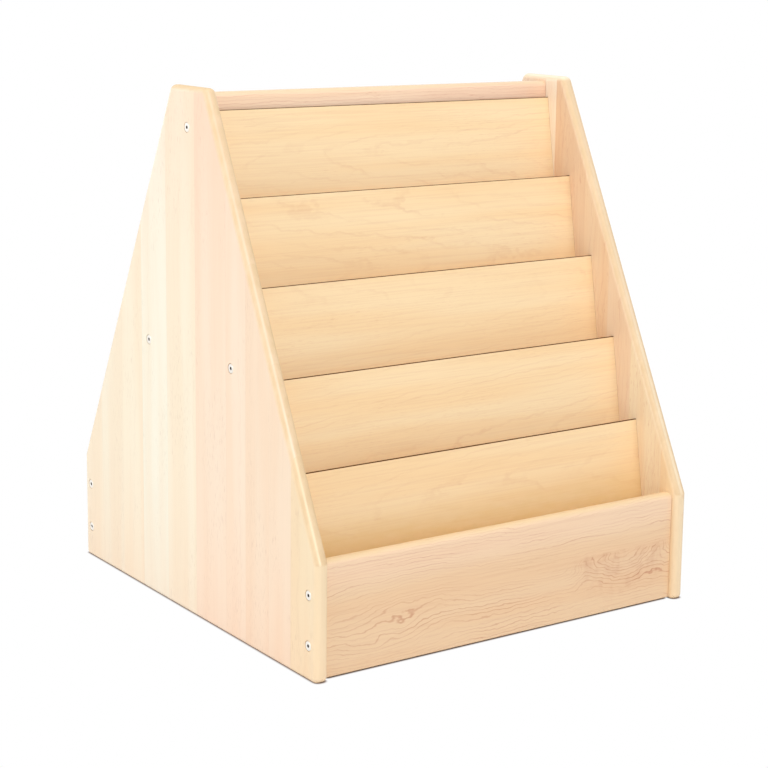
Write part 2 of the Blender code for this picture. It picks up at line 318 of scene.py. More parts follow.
class MapleFigure(EffectGroup):
    """The figure of maple as masks over its grain coordinates.

    Growth rings are counted across and through the board, and the count wanders with noise at four sizes.
    Towards the heart the count swings to and fro across the board and grows slowly along it, so that the
    rings close in tall arches. In one wild place it grows slower across the board, falls along it and swings
    further, so that few rings meander there. Under one eye it falls with the distance from the eye instead,
    so that the rings hang from it in bows.

    The late wood at the end of each ring is a thin line whose strength changes from ring to ring and along
    the grain. Fibre is fine noise drawn out along the grain, flecks are the short peaks of another, and blush
    is noise in broad streaks.
    """

    INPUTS = {"Grain": "vector", "Spacing": "value", "Heart": "value", "Wander": "value", "Eye": "vector",
              "Eye Depth": "value", "Wild Place": "vector", "Wild Depth": "value"}
    MASKS = ("Lines", "Fibre", "Fleck", "Blush", "Relief")
    THROUGH_GROWTH = 0.6  # of the count through the board, next to 1 across it
    ARCH_GROWTH = 0.07  # of the count along the heart
    ARCH_TURN = 26.0  # radians of its swing for each metre across the heart
    ARCH_SWING = 0.03
    WILD_STEEPNESS = (9.0, 20.0, 0.0)
    WILD_SLANT = (0.13, 0.62, 0.0)  # how much slower the count grows in the wild place
    WILD_WAVES = (15.0, 22.0, 22.0)
    WILD_SWING = 0.026
    WILD_CALM = 0.15  # how much less the count wanders there
    EYE_STEEPNESS = (13.0, 16.0, 0.0)
    EYE_RIM = (0.1, 0.6)  # shares of the spot where the eye begins and where it is full
    EYE_BROW = (0.001, -0.005)  # across the grain from its middle, where it begins and where it is full
    EYE_BOW = (0.62, 1.0, 0.0)  # how fast the distance from the eye grows
    FRAY_WAVES = 32.0
    FRAY_DETAIL = 2.0
    FRAY = (0.05, 0.014, 0.0)  # how far noise shifts the bows
    WANDERS = (  # waves and share of each size of wandering
        ((2.8, 9.0, 9.0), 1.0), ((13.0, 36.0, 36.0), 0.5), ((38.0, 60.0, 60.0), 0.25),
        ((95.0, 170.0, 170.0), 0.13),
    )
    LATE_START = 0.66  # share of a ring where its late wood begins
    LATE_PEAK = 0.88
    FAINTEST = 0.3  # strength of the faintest ring's line, next to 1 for the boldest
    FADING = Streaks((7.0, 40.0, 40.0), 0.25, 0.7, 2.0)  # the lines' strength along the grain
    BOLDNESS = 0.75  # the least of that strength in the eye and in the wild place
    SMUDGES = Streaks((70.0, 50.0, 50.0), 0.4, 0.8, 2.0)  # dark clouds in the eye
    SMUDGE_GROUND = 0.1  # strength between the clouds
    SMUDGE_DEPTH = 0.3  # what a cloud adds to it
    FIBRE_WAVES = (9.0, 480.0, 480.0)
    FIBRE_DETAIL = 3.0
    FLECKS = Streaks((75.0, 780.0, 780.0), 0.6, 0.72)
    FLECK_PATCHES = Streaks((7.0, 22.0, 22.0), 0.45, 0.66)  # where the flecks lie
    BLUSH = Streaks((2.2, 30.0, 30.0), 0.34, 0.68)
    LINE_RELIEF = -0.6
    FIBRE_RELIEF = 0.8
    FLECK_RELIEF = -0.8

    def __init__(self) -> None:
        """Make the group and join up its masks."""
        super().__init__("maple_figure", self.INPUTS, dict.fromkeys(self.MASKS, "value"))
        bench, grain = self.bench, self.given["Grain"]
        wild, count = self.wild(self.count())
        eye, count = self.eye(count)
        lines = self.lines(self.rings(count, wild), bench.math("MAXIMUM", eye, wild))
        smudges = bench.scaled(self.SMUDGES.shown(bench, grain), self.SMUDGE_DEPTH, self.SMUDGE_GROUND)
        lines = bench.scaled(smudges, eye, lines)
        fibre = bench.noise(grain, self.FIBRE_WAVES, self.FIBRE_DETAIL)
        fleck = bench.times(self.FLECKS.shown(bench, grain), self.FLECK_PATCHES.shown(bench, grain))
        relief = bench.scaled(lines, self.LINE_RELIEF, bench.times(fibre, self.FIBRE_RELIEF))
        relief = bench.scaled(fleck, self.FLECK_RELIEF, relief)
        for name, mask in zip(self.MASKS, (lines, fibre, fleck, self.BLUSH.shown(bench, grain), relief)):
            self.give(name, mask)

    def count(self) -> Socket:
        """The ring count in metres, straight across the board or in arches towards the heart.

        Returns:
            The count.
        """
        bench = self.bench
        along, across, through = bench.axes(self.given["Grain"])
        straight = bench.scaled(through, self.THROUGH_GROWTH, across)
        swing = bench.times(bench.math("SINE", bench.times(across, self.ARCH_TURN)), self.ARCH_SWING)
        return bench.between(self.given["Heart"], straight, bench.scaled(along, self.ARCH_GROWTH, swing))

    def wild(self, count: Socket) -> tuple[Socket, Socket]:
        """Let the rings meander in the wild place.

        Args:
            count: the ring count.

        Returns:
            The share of the wild place, and the new count.
        """
        bench, grain, middle = self.bench, self.given["Grain"], self.given["Wild Place"]
        share = bench.times(bench.spot(grain, middle, self.WILD_STEEPNESS), self.given["Wild Depth"])
        away = bench.vector_math("SUBTRACT", grain, middle)
        slant = bench.vector_math("DOT_PRODUCT", away, self.WILD_SLANT)
        count = bench.math("SUBTRACT", count, bench.times(share, slant))
        swing = bench.times(share, bench.sway(grain, self.WILD_WAVES))
        return share, bench.scaled(swing, self.WILD_SWING, count)

    def eye(self, count: Socket) -> tuple[Socket, Socket]:
        """Let the rings hang in bows under the eye.

        Args:
            count: the ring count.

        Returns:
            The share of the eye, and the new count.
        """
        bench, grain = self.bench, self.given["Grain"]
        feeds = {"Vector": grain, "Scale": self.FRAY_WAVES, "Detail": self.FRAY_DETAIL}
        noise = bench.put("ShaderNodeTexNoise", feeds).outputs[1]
        stray = bench.vector_math("SUBTRACT", noise, (bench.NOISE_MIDDLE,) * 3)
        frayed = bench.vector_math("MULTIPLY_ADD", stray, self.FRAY, grain)
        away = bench.vector_math("SUBTRACT", frayed, self.given["Eye"])
        bow = bench.vector_math("LENGTH", bench.vector_math("MULTIPLY", away, self.EYE_BOW))
        below = bench.axes(away)[1]
        spot = bench.rise(bench.spot(away, (0.0, 0.0, 0.0), self.EYE_STEEPNESS), *self.EYE_RIM)
        share = bench.times(spot, bench.rise(below, *self.EYE_BROW), self.given["Eye Depth"])
        return share, bench.math("SUBTRACT", count, bench.times(share, bench.math("ADD", bow, below)))

    def rings(self, count: Socket, wild: Socket) -> Socket:
        """The wandering count in rings.

        Args:
            count: the ring count in metres.
            wild: the share of the wild place.

        Returns:
            The count, a whole number where a ring ends.
        """
        bench, given = self.bench, self.given
        calm = bench.times(bench.scaled(wild, -self.WILD_CALM, 1.0), given["Wander"])
        rings = bench.math("DIVIDE", count, given["Spacing"])
        for waves, share in self.WANDERS:
            rings = bench.scaled(bench.sway(given["Grain"], waves, 1.0), bench.times(calm, share), rings)
        return rings

    def lines(self, rings: Socket, bold: Socket) -> Socket:
        """The lines of late wood.

        Args:
            rings: the count in rings.
            bold: the share of the places where the lines stay bold.

        Returns:
            The lines' strength.
        """
        bench = self.bench
        share = bench.math("FRACT", rings)
        start, end = (bench.rise(share, foot, self.LATE_PEAK) for foot in (self.LATE_START, 1.0))
        feeds = {"W": bench.math("FLOOR", rings)}
        odd = bench.put("ShaderNodeTexWhiteNoise", feeds, noise_dimensions="1D").outputs[0]
        strength = bench.scaled(odd, 1.0 - self.FAINTEST, self.FAINTEST)
        fading = self.FADING.shown(bench, self.given["Grain"])
        fading = bench.math("MAXIMUM", fading, bench.times(bold, self.BOLDNESS))
        return bench.times(start, end, strength, fading)


class EdgeToneAndShade(EffectGroup):
    """Another tone and a rougher coat where a mask is 1, broken up by noise along the grain."""

    # the tone is end grain on the sloping side edges, painted light on the boards' tops and painted shade low
    # on the lowest panels
    INPUTS = {"Grain": "vector", "Arris": "value", "Colour": "colour", "Edge": "colour", "Depth": "value",
              "Roughness": "value"}
    WAVES = (30.0, 90.0, 90.0)
    DETAIL = 3.0
    LEAST = 0.35  # of the tone's share, where the noise is 0
    SPREAD = 1.1  # what the noise adds to it where it is 1
    ROUGHENING = 0.12

    def __init__(self) -> None:
        """Make the group and join up its colour and its roughness."""
        super().__init__("edge_tone_and_shade", self.INPUTS, {"Colour": "colour", "Roughness": "value"})
        bench, given = self.bench, self.given
        broken = bench.scaled(bench.noise(given["Grain"], self.WAVES, self.DETAIL), self.SPREAD, self.LEAST)
        tone_and_shade = bench.times(given["Arris"], broken, given["Depth"])
        self.give("Colour", bench.tint(tone_and_shade, given["Colour"], given["Edge"]))
        self.give("Roughness", bench.scaled(tone_and_shade, self.ROUGHENING, given["Roughness"]))


@dataclass(frozen=True)
class Effects:
    """The node groups that the finishes share."""

    figure: bpy.types.NodeTree
    edge: bpy.types.NodeTree


@dataclass(frozen=True)
class Stave:
    """One strip of an edge-glued panel."""

    width: float
    tone: Colour


@dataclass(frozen=True)
class Lacquer:
    """The clear coat over a maple piece."""

    roughness: float = 0.42
    shine: float = 0.5
    coat: float = 0.35
    coat_roughness: float = 0.12
    relief: float = 0.00004


@dataclass(frozen=True)
class MapleFinish:
    """Clear-lacquered maple of one cut: its colours, and how deep each mark of its figure shows."""

    name: str
    slot: str
    wood: Colour | tuple[Stave, ...]  # one tone, or the staves that a panel is glued from
    blush: Colour
    line: Colour
    sap: Colour | None = None
    sap_reach: Span = (0.0, 0.0)  # across the grain, where sapwood starts and where it is full
    deep: Colour | None = None  # painted shade: multiplies the wood's tone away from one place along the grain
    painted_shade_from: float = 0.0  # the place along the grain that it lies away from
    painted_shade_reach: Span = (0.0, 0.0)  # how far from there it starts, and where it is full
    # the tone where the arris mask is 1; this default is painted light on the boards' top edges
    edge: Colour = screen(238, 210, 170)
    spacing: float = 0.006
    heart: float = 0.0
    wander: float = 6.0
    eye: Triple = (0.0, 0.0, 0.0)
    eye_depth: float = 0.0
    wild: Triple = (0.0, 0.0, 0.0)
    wild_depth: float = 0.0
    line_depth: float = 0.3
    fibre_depth: float = 0.12
    fleck_depth: float = 0.3
    blush_depth: float = 0.5
    edge_depth: float = 0.8
    cap: Colour | None = None
    cap_mottle: float = 0.4
    lacquer: Lacquer = Lacquer()

    FIBRE_SHOWN = (0.4, 0.75)  # fibre noise that begins to show, and that shows in full
    MOTTLE_SHOWN = (0.25, 0.8)  # the same for the mottling of a cap
    FIBRE_ROUGHNESS = 0.12  # how much fibre changes the roughness
    CAP_ROUGHNESS = 0.9
    GLUE_WIDTH = 0.0005
    GLUE_DEPTH = 0.08
    STAVE_SHIFT = (9.0, 0.0, 3.0)  # in their wood, from the first stave to one past the last

    def material(self, effects: Effects) -> bpy.types.Material:
        """The procedural material.

        Args:
            effects: the shared node groups.

        Returns:
            A new material.
        """
        material = bpy.data.materials.new(self.name)
        bench = Bench.cleared(material)
        whole = bench.coordinates(GRAIN)
        glued = isinstance(self.wood[0], Stave)
        tone, grain, seam = self.glued(bench, whole) if glued else (self.wood, whole, 0.0)
        figure = bench.group(
            effects.figure, Grain=grain, Spacing=self.spacing, Heart=self.heart, Wander=self.wander,
            Eye=self.eye, Eye_Depth=self.eye_depth, Wild_Place=self.wild, Wild_Depth=self.wild_depth,
        ).outputs
        tone = self.shaded(bench, whole, tone)
        tone = bench.tint(bench.times(figure["Blush"], self.blush_depth), tone, self.blush, "MULTIPLY")
        fibre = bench.times(bench.rise(figure["Fibre"], *self.FIBRE_SHOWN), self.fibre_depth)
        marks = bench.scaled(figure["Lines"], self.line_depth, bench.math("ADD", fibre, seam))
        marks = bench.scaled(figure["Fleck"], self.fleck_depth, marks)
        smooth = self.lacquer.roughness - self.FIBRE_ROUGHNESS / 2
        edge = bench.group(
            effects.edge, Grain=grain, Arris=bench.mask(ARRIS),
            Colour=bench.tint(marks, tone, self.line, "MULTIPLY"), Edge=self.edge, Depth=self.edge_depth,
            Roughness=bench.scaled(figure["Fibre"], self.FIBRE_ROUGHNESS, smooth),
        ).outputs
        colour, rough, coat = edge["Colour"], edge["Roughness"], self.lacquer.coat
        if self.cap is not None:
            shown = bench.mask(CAP)
            mottle = bench.times(bench.rise(figure["Fibre"], *self.MOTTLE_SHOWN), self.cap_mottle)
            colour = bench.tint(shown, colour, bench.tint(mottle, self.cap, BLACK))
            rough = bench.math("MAXIMUM", rough, bench.times(shown, self.CAP_ROUGHNESS))
            coat = bench.scaled(shown, -coat, coat)
        shader = bench.put("ShaderNodeBsdfPrincipled", {
            "Base Color": colour, "Roughness": rough, "Specular IOR Level": self.lacquer.shine,
            "Coat Weight": coat, "Coat Roughness": self.lacquer.coat_roughness,
            "Normal": bench.bump(self.lacquer.relief, figure["Relief"]),
        })
        bench.put("ShaderNodeOutputMaterial", {"Surface": shader.outputs[0]})
        return material

    def shaded(self, bench: Bench, whole: Socket, tone: Feed) -> Feed:
        """Darken the wood's tone along the grain as painted shade, and turn it to sapwood across it.

        Args:
            bench: the material's tree.
            whole: the whole piece's grain coordinates.
            tone: the wood's tone.

        Returns:
            The new tone.
        """
        along, across, _ = bench.axes(whole)
        if self.deep is not None:
            away = bench.math("ABSOLUTE", bench.math("SUBTRACT", along, self.painted_shade_from))
            tone = bench.tint(bench.rise(away, *self.painted_shade_reach), tone, self.deep, "MULTIPLY")
        if self.sap is not None:
            tone = bench.tint(bench.rise(across, *self.sap_reach), tone, self.sap)
        return tone

    def glued(self, bench: Bench, whole: Socket) -> tuple[Socket, Socket, Socket]:
        """Edge-glued staves across the grain, from the front edge to the back.

        A stepped ramp across the panel holds each stave's tone, with its number as alpha. The number moves
        the stave along and through its wood, so that neighbours differ, and a glue line shows where it
        changes.

        Args:
            bench: the material's tree.
            whole: the whole panel's grain coordinates.

        Returns:
            The stave's tone, its own grain coordinates, and the glue line's mark.
        """
        widths = np.array([stave.width for stave in self.wood])
        total = float(widths.sum())
        starts = (np.cumsum(widths) - widths) / total
        across = bench.axes(whole)[1]
        ramps = []
        for shift in (0.0, self.GLUE_WIDTH):
            share = bench.math("DIVIDE", bench.math("ADD", across, total / 2 + shift), total)
            ramp = bench.put("ShaderNodeValToRGB", {0: share})
            ramp.color_ramp.interpolation = "CONSTANT"
            while len(ramp.color_ramp.elements) < len(self.wood):
                ramp.color_ramp.elements.new(1.0)
            for number, (element, start) in enumerate(zip(ramp.color_ramp.elements, starts)):
                element.position = start
                element.color = (*self.wood[number].tone[:3], number / len(self.wood))
            ramps.append(ramp.outputs)
        numbers = [ramp["Alpha"] for ramp in ramps]
        change = bench.math("ABSOLUTE", bench.math("SUBTRACT", *numbers))
        seam = bench.math("GREATER_THAN", change, 0.5 / len(self.wood))  # half of a stave's step
        own = bench.vector_math("MULTIPLY_ADD", numbers[0], self.STAVE_SHIFT, whole)
        return ramps[0]["Color"], own, bench.times(seam, self.GLUE_DEPTH)


@dataclass(frozen=True)
class ZincFinish:
    """Bright zinc plate with the fine rings of turning; its waves run along the radius, turn and depth."""

    name: str
    slot: str
    base: Colour
    shade: Colour
    # dark oxide and painted shade inside the socket
    socket_oxide_and_shade: Colour
    roughness: float = 0.3
    ring_roughness: float = 0.2  # how much the rings change the roughness
    ring_waves: Triple = (2600.0, 0.4, 2600.0)
    clouds: Streaks = Streaks((320.0, 0.9, 320.0), 0.3, 0.7, 2.0)
    relief: float = 0.00002

    def material(self) -> bpy.types.Material:
        """The procedural material.

        Returns:
            A new material.
        """
        material = bpy.data.materials.new(self.name)
        bench = Bench.cleared(material)
        turned = bench.coordinates(LATHE)
        rings = bench.noise(turned, self.ring_waves)
        colour = bench.tint(self.clouds.shown(bench, turned), self.base, self.shade)
        shader = bench.put("ShaderNodeBsdfPrincipled", {
            "Base Color": bench.tint(bench.mask(SOCKET), colour, self.socket_oxide_and_shade), "Metallic": 1.0,
            "Roughness": bench.scaled(rings, self.ring_roughness, self.roughness - self.ring_roughness / 2),
            "Normal": bench.bump(self.relief, rings),
        })
        bench.put("ShaderNodeOutputMaterial", {"Surface": shader.outputs[0]})
        return material


def mesh_places(mesh: bpy.types.Mesh) -> Array:
    """The points of a mesh.

    Args:
        mesh: the mesh.

    Returns:
        (points, 3) places.
    """
    flat = np.empty(len(mesh.vertices) * 3, np.float32)
    mesh.vertices.foreach_get("co", flat)
    return flat.reshape(-1, 3).astype(float)


@dataclass
class Surface:
    """A closed surface: its points, its faces, and named values on its points."""

    points: Array
    faces: list[list[int]]
    values: dict[str, Array] = field(default_factory=dict)

    @staticmethod
    def grid(points: Array, values: Mapping[str, Array] | None = None) -> "Surface":
        """A tube of rings: each row of the grid is a ring, joined to the next, and both ends are closed flat.

        Args:
            points: (rings, points in a ring, 3) places.
            values: (rings, points in a ring, ...) named values.

        Returns:
            The closed surface.
        """
        rings, count = points.shape[:2]
        index = np.arange(rings * count).reshape(rings, count)
        after = np.roll(index, -1, axis=1)
        quads = np.stack([index[:-1], after[:-1], after[1:], index[1:]], axis=-1).reshape(-1, 4)
        faces = [*quads.tolist(), index[0, ::-1].tolist(), index[-1].tolist()]
        flat = {name: np.reshape(value, (rings * count, -1)) for name, value in (values or {}).items()}
        return Surface(points.reshape(-1, 3), faces, flat)

    @staticmethod
    def carried(section: Array, stations: Sequence[float], sign: float,
                values: Mapping[str, Array] | None = None) -> "Surface":
        """A section carried along X: point (i, j) is section point j at station i.

        Args:
            section: (points, 2) places as (out, up).
            stations: places along X.
            sign: the sign of Y that out stands for.
            values: named values of the section's points.

        Returns:
            The closed surface.
        """
        points = np.empty((len(stations), len(section), 3))
        points[..., 0] = np.asarray(stations)[:, None]
        points[..., 1] = sign * section[:, 0]
        points[..., 2] = section[:, 1]
        spread = {name: np.tile(value, (len(stations), 1)) for name, value in (values or {}).items()}
        return Surface.grid(points, spread)

    @staticmethod
    def joined(surfaces: Sequence["Surface"]) -> "Surface":
        """Several closed surfaces as one, without their values.

        Args:
            surfaces: the closed surfaces.

        Returns:
            One surface.
        """
        starts = np.cumsum([0] + [len(surface.points) for surface in surfaces])
        faces = [
            [int(start) + corner for corner in face]
            for start, surface in zip(starts, surfaces) for face in surface.faces
        ]
        return Surface(np.concatenate([surface.points for surface in surfaces]), faces)

    def mesh(self, name: str) -> bpy.types.Mesh:
        """The surface as a mesh whose faces point out.

        Args:
            name: the mesh's name.

        Returns:
            A new mesh.
        """
        mesh = bpy.data.meshes.new(name)
        mesh.from_pydata(self.points.tolist(), [], self.faces)
        shape = bmesh.new()
        shape.from_mesh(mesh)
        bmesh.ops.recalc_face_normals(shape, faces=shape.faces)
        shape.to_mesh(mesh)
        shape.free()
        return mesh


def rounded_outlines(corners: Array, radii: Array, steps: int) -> Array:
    """Outlines with an arc at each corner.

    An arc touches both sides of its corner. Its centre is on the corner's bisector, at the radius divided by
    the sine of half the corner's angle, and its points are its first one turned evenly to its last.

    Args:
        corners: (outlines, corners, 2) points in order round each outline.
        radii: (outlines, corners) radius of each arc.
        steps: straight pieces in an arc.

    Returns:
        (outlines, corners * (steps + 1), 2) points in order.
    """
    before = np.roll(corners, 1, axis=1) - corners
    after = np.roll(corners, -1, axis=1) - corners
    before = before / np.linalg.norm(before, axis=2, keepdims=True)
    after = after / np.linalg.norm(after, axis=2, keepdims=True)
    half = np.arccos(np.clip(np.sum(before * after, axis=2), -1.0, 1.0)) / 2
    bisector = (before + after) / np.linalg.norm(before + after, axis=2, keepdims=True)
    centre = corners + bisector * (radii / np.sin(half))[..., None]
    first = corners + before * (radii / np.tan(half))[..., None] - centre
    crossed = before[..., 0] * after[..., 1] - before[..., 1] * after[..., 0]
    turn = (-np.sign(crossed) * (np.pi - 2 * half))[..., None] * np.linspace(0.0, 1.0, steps + 1)
    cos, sin = np.cos(turn), np.sin(turn)
    arc = np.stack([
        cos * first[..., :1] - sin * first[..., 1:],
        sin * first[..., :1] + cos * first[..., 1:],
    ], axis=-1)
    return (centre[..., None, :] + arc).reshape(len(corners), -1, 2)


def rounded_section(corners: Sequence[Array], radii: Sequence[float], steps: int) -> Array:
    """One outline with an arc at each corner, as rounded_outlines makes it."""
    return rounded_outlines(np.array(corners)[None], np.array(radii)[None], steps)[0]


@dataclass(frozen=True)
class GrainLay:
    """How a piece lies in its wood: its grain's directions, and its number of steps from the first."""

    along: Triple
    across: Triple
    through: Triple
    step: Triple = (0.0, 0.0, 0.0)
    number: int = 0

    def coordinates(self, points: Array) -> Array:
        """Each point's distance along, across and through the grain."""
        turned = points @ np.array([self.along, self.across, self.through]).T
        return turned + self.number * np.array(self.step)


class Workshop:
    """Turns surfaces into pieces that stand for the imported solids."""

    def __init__(self, effects: Effects) -> None:
        """Keep the shared node groups and the scene's collection."""
        self.effects = effects
        self.collection = bpy.context.scene.collection

    def cut(self, mesh: bpy.types.Mesh, cutter: Surface) -> bpy.types.Mesh:
        """Take a cutter's shape out of a mesh.

        Args:
            mesh: the mesh to cut.
            cutter: one or more closed bodies.

        Returns:
            A new mesh.
        """
        whole = bpy.data.objects.new("uncut", mesh)
        tool = bpy.data.objects.new("cutter", cutter.mesh("cutter"))
        for temporary in (whole, tool):
            self.collection.objects.link(temporary)
        modifier = whole.modifiers.new("cut", "BOOLEAN")
        modifier.operation = "DIFFERENCE"
        modifier.solver = "EXACT"
        modifier.object = tool
        graph = bpy.context.evaluated_depsgraph_get()
        result = bpy.data.meshes.new_from_object(whole.evaluated_get(graph))
        for temporary in (whole, tool):
            bpy.data.objects.remove(temporary)
        return result

    def make(self, node: str, surface: Surface, material: bpy.types.Material, slot: str,
             lay: GrainLay | None = None, cutter: Surface | None = None,
             masks: Mapping[str, Mask] | None = None) -> None:
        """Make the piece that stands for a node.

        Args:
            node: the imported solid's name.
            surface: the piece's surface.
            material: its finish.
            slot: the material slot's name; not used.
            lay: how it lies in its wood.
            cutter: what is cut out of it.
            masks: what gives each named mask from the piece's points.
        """
        mesh = surface.mesh(node)
        if cutter is not None:
            mesh = self.cut(mesh, cutter)
        places = mesh_places(mesh)
        values = dict(surface.values)
        if lay is not None:
            values[GRAIN] = lay.coordinates(places)
        values.update((name, mask(places)) for name, mask in (masks or {}).items())
        for name, value in values.items():
            wide = value.size == places.size
            kind, entry = ("FLOAT_VECTOR", "vector") if wide else ("FLOAT", "value")
            attribute = mesh.attributes.new(name, kind, "POINT")
            attribute.data.foreach_set(entry, np.ravel(value).astype(np.float32))
        mesh.materials.clear()
        mesh.materials.append(material)
        mesh.shade_smooth()
        mesh.set_sharp_from_angle(angle=SHARP_ANGLE)
        piece = bpy.data.objects.new(f"{node}_finished", mesh)
        self.collection.objects.link(piece)
        weighted = piece.modifiers.new("flat_faces_stay_flat", "WEIGHTED_NORMAL")
        weighted.keep_sharp = True
        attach(piece, "root")
        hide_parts(node)
        LOG.info("%s: %d faces", piece.name, len(mesh.polygons))


@dataclass
class Frame:
    """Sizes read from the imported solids."""

    nodes: Mapping[str, bpy.types.Object]

    def box(self, node: str) -> Array:
        """The lowest and highest corner of a node, as two rows."""
        return np.array([list(corner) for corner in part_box(node)])

    def section(self, node: str) -> Array:
        """All of a node's points as (out, up)."""
        places = mesh_places(self.nodes[node].data)
        return np.stack([np.abs(places[:, 1]), places[:, 2]], axis=1)

    def leaning_box(self, node: str) -> Array:
        """A leaning section's lowest and highest (outward, down) in its own turned axes, as two rows."""
        turned = self.section(node) @ np.stack([OUTWARD, DOWN], axis=1)
        return np.stack([turned.min(axis=0), turned.max(axis=0)])

    def length(self, node: str) -> float:
        """A node's reach along X."""
        return float(np.ptp(self.box(node)[:, 0]))

    @property
    def width(self) -> float:
        """Across the outer faces of the side panels."""
        return float(self.box("side_panel_right")[1, 0] - self.box("side_panel_left")[0, 0])

    @property
    def height(self) -> float:
        """The side panels' top above the floor."""
        return float(self.box("side_panel_left")[1, 2])

    @property
    def foot_height(self) -> float:
        """The lip boards' top above the floor, where the side panels' edges kink."""
        return float(self.box("lip_board_front")[1, 2])

    @property
    def side_thickness(self) -> float:
        """Thickness of a side panel."""
        return self.length("side_panel_left")


@dataclass
class Screws:
    """Connector screws with a flat round head, a hexagon socket and a rolled thread, and their holes."""

    frame: Frame
    head_diameter: float = 0.0125
    head_height: float = 0.0025
    head_rim: float = 0.0006
    rim_steps: int = 4
    shank_diameter: float = 0.007
    thread_diameter: float = 0.005
    thread_pitch: float = 0.0022
    thread_depth: float = 0.0007
    thread_foot: float = 0.4  # share of a turn from the middle of the crest to the root
    thread_flank: float = 0.25  # share of a turn that a flank takes
    thread_rows: int = 10  # rings in one turn of the thread
    tip_length: float = 0.004
    tip_share: float = 0.08  # what is left of the thread's radius at the point
    socket_across: float = 0.004
    socket_depth: float = 0.0018
    socket_chamfer: float = 0.0003
    seat_clearance: float = 0.0006
    sides: int = 48

    HELD = ("rail", "ledge_front", "ledge_back", "lip_front_upper", "lip_front_lower", "lip_back_upper",
            "lip_back_lower")
    SOCKET_RINGS = 2  # rings at the socket's floor and under its chamfer

    def node(self, hand: Hand, held: str) -> str:
        """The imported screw's name."""
        return f"screw_{hand.name.lower()}_{held}"

    def placed(self, radii: Array, depths: Array, hand: Hand, held: str) -> Array:
        """Rings round a screw's own axis, set at its place.

        Point (i, j) is at ring i's depth below the head's face and at its radius, turned by j steps.

        Args:
            radii: (rings, sides) radius by direction.
            depths: (rings, sides) depth below the head's face.
            hand: the end of the display.
            held: what the screw holds.

        Returns:
            (rings, sides, 3) places.
        """
        low, high = self.frame.box(self.node(hand, held))
        middle = (low + high) / 2
        face = low[0] if hand is Hand.LEFT else high[0]
        turns = self.turns()
        return np.stack([
            face - hand.value * depths,
            middle[1] + radii * np.cos(turns),
            middle[2] + radii * np.sin(turns),
        ], axis=-1)

    def turns(self) -> Array:
        """Directions round the axis."""
        return np.linspace(0.0, 2 * np.pi, self.sides, endpoint=False)

    def hexagon(self, across: float) -> Array:
        """A hexagon's radius by direction: half its width over the cosine of the turn from a flat."""
        return across / 2 / np.cos(self.turns() % (np.pi / 3) - np.pi / 6)

    def rings(self, length: float, shoulder: float) -> tuple[Array, Array]:
        """Radius and depth of every ring from the socket's floor to the point.

        The head's rim is a quarter circle. The thread's radius swings between its crest and its root with the
        share of a turn left between the depth and the direction, so that its crest is a helix.

        Args:
            length: from the head's face to the point.
            shoulder: depth where the shank ends.

        Returns:
            (rings, sides) radii and (rings, sides) depths.
        """
        diameters = (self.head_diameter, self.shank_diameter, self.thread_diameter)
        head, shank, crest = (diameter / 2 for diameter in diameters)
        flats = (self.socket_across, self.socket_across, self.socket_across + 2 * self.socket_chamfer)
        socket = np.stack([self.hexagon(across) for across in flats])
        socket_depths = [self.socket_depth, self.socket_chamfer, 0.0]
        turn = np.linspace(0.0, np.pi / 2, self.rim_steps + 1)
        profile = np.concatenate([
            np.stack([head - self.head_rim * (1 - np.sin(turn)), self.head_rim * (1 - np.cos(turn))], axis=1),
            [(head, self.head_height), (shank, self.head_height), (shank, shoulder)],
        ])
        rows = round((length - shoulder) / self.thread_pitch * self.thread_rows)
        deep = np.linspace(shoulder, length, rows)
        wound = (deep[:, None] / self.thread_pitch - self.turns() / (2 * np.pi)) % 1.0
        ridge = np.clip((self.thread_foot - np.abs(wound - 0.5)) / self.thread_flank, 0.0, 1.0)
        taper = np.clip((length - deep) / self.tip_length, self.tip_share, 1.0)[:, None]
        thread = taper * (crest - self.thread_depth * (1 - ridge))
        radii = np.concatenate([socket, np.repeat(profile[:, :1], self.sides, axis=1), thread])
        depths = np.concatenate([socket_depths, profile[:, 1], deep])
        return radii, np.repeat(depths[:, None], self.sides, axis=1)

    def hole(self, hand: Hand, held: str) -> Surface:
        """The stepped hole of one screw, which begins clear of the side panel's face.

        Args:
            hand: the end of the display.
            held: what the screw holds.

        Returns:
            The hole as a closed body.
        """
        head = self.head_diameter / 2 + self.seat_clearance
        shank = self.shank_diameter / 2 + FIT_GAP
        thread = self.thread_diameter / 2 + FIT_GAP
        seat = self.head_height + FIT_GAP
        shoulder = self.frame.side_thickness + FIT_GAP
        end = self.frame.length(self.node(hand, held)) + FIT_GAP
        steps = [(-self.head_height, head), (seat, head), (seat, shank), (shoulder, shank),
                 (shoulder, thread), (end, thread)]
        depths, radii = (np.repeat(np.array(column)[:, None], self.sides, axis=1) for column in zip(*steps))
        return Surface.grid(self.placed(radii, depths, hand, held))

    def holes(self, hand: Hand) -> list[Surface]:
        """All the holes at one end of the display."""
        return [self.hole(hand, held) for held in self.HELD]

    def through(self, held: str) -> list[Surface]:
        """The holes in both ends of what one screw position holds."""
        return [self.hole(hand, held) for hand in Hand]

    def build(self, shop: Workshop, finish: ZincFinish) -> None:
        """Make every screw.

        Args:
            shop: makes the pieces.
            finish: the screws' plating.
        """
        material = finish.material()
        for hand in Hand:
            for held in self.HELD:
                node = self.node(hand, held)
                radii, depths = self.rings(self.frame.length(node), self.frame.side_thickness)
                lathe = np.stack([radii, np.broadcast_to(self.turns(), radii.shape), depths], axis=-1)
                inside = np.zeros(radii.shape)
                inside[:self.SOCKET_RINGS] = 1.0
                values = {LATHE: lathe, SOCKET: inside}
                surface = Surface.grid(self.placed(radii, depths, hand, held), values)
                shop.make(node, surface, material, finish.slot)


